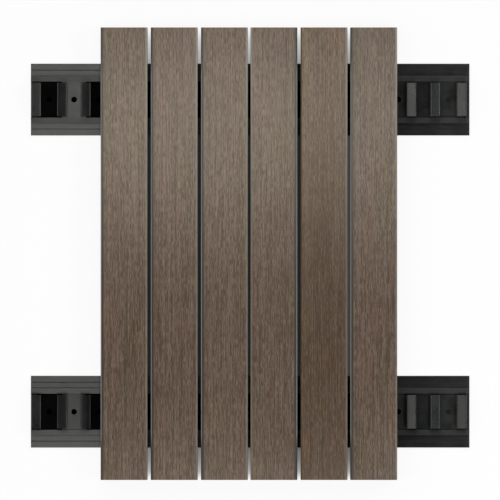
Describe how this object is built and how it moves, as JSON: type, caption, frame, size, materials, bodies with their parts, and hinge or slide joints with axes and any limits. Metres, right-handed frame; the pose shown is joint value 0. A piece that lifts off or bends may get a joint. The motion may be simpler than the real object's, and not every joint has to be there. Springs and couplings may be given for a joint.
{
  "type": "composite cladding panel",
  "caption": "Slatted wall panel: upright brushed composite boards, set side by side with narrow gaps, pressed onto black horizontal clip rails with screw holes.",
  "frame": {"origin": "middle of the panel, on the plane of the wall behind the rails", "axes": "+X along the rails, +Y up the boards, +Z out of the wall towards the board faces"},
  "size_m": [0.4396, 0.4526, 0.0284],
  "materials": {
    "composite": "brushed, matt",
    "rail_black": "satin black",
    "clip_black": "satin black"
  },
  "bodies": {
    "root": {"board_1": "composite", "board_2": "composite", "board_3": "composite", "board_4": "composite", "board_5": "composite", "board_6": "composite", "upper_rail": "rail_black", "lower_rail": "rail_black", "upper_clip_1": "clip_black", "upper_clip_2": "clip_black", "upper_clip_3": "clip_black", "upper_clip_4": "clip_black", "upper_clip_5": "clip_black", "upper_clip_6": "clip_black", "upper_clip_7": "clip_black", "upper_clip_8": "clip_black", "upper_clip_9": "clip_black", "upper_clip_10": "clip_black", "lower_clip_1": "clip_black", "lower_clip_2": "clip_black", "lower_clip_3": "clip_black", "lower_clip_4": "clip_black", "lower_clip_5": "clip_black", "lower_clip_6": "clip_black", "lower_clip_7": "clip_black", "lower_clip_8": "clip_black", "lower_clip_9": "clip_black", "lower_clip_10": "clip_black"}
  },
  "joints": []
}
